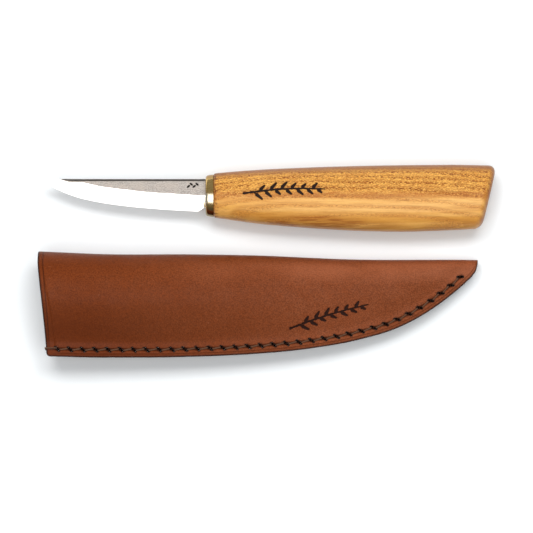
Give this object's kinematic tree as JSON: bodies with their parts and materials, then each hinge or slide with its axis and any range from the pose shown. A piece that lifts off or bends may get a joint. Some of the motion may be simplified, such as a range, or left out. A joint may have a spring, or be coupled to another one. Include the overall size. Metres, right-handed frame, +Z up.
{
  "type": "carving knife with sheath",
  "caption": "Small wood carving knife with a short straight-backed blade, brass ferrule and oval wooden handle, beside its folded and stitched leather sheath.",
  "frame": {"origin": "centre of the whole set's footprint, on the surface that it lies on", "axes": "+X from the blade's tip to the butt of the handle, +Y from the knife's cutting edge to its spine, +Z up"},
  "size_m": [0.191, 0.0806, 0.0288],
  "materials": {
    "blade_steel": "satin flats, polished bevels",
    "ferrule_brass": "lightly brushed",
    "handle_wood": "oiled, ring-porous grain",
    "adhesive": "cured resin",
    "sheath_leather": "smooth, waxed, burnished edges",
    "welt_leather": "raw cut edge",
    "liner_plastic": "matt black",
    "thread": "waxed twisted thread"
  },
  "bodies": {
    "knife": {"blade": "blade_steel", "ferrule": "ferrule_brass", "handle": "handle_wood", "tang_adhesive": "adhesive"},
    "sheath": {"sheath_leather": "sheath_leather", "sheath_welt": "welt_leather", "sheath_liner": "liner_plastic", "seam_thread_a": "thread", "seam_thread_b": "thread"}
  },
  "joints": [
    {"name": "sheath_lift", "type": "slide", "parent": "knife", "child": "sheath", "axis": [0, 0, 1], "range_m": [0, 0.12]}
  ]
}
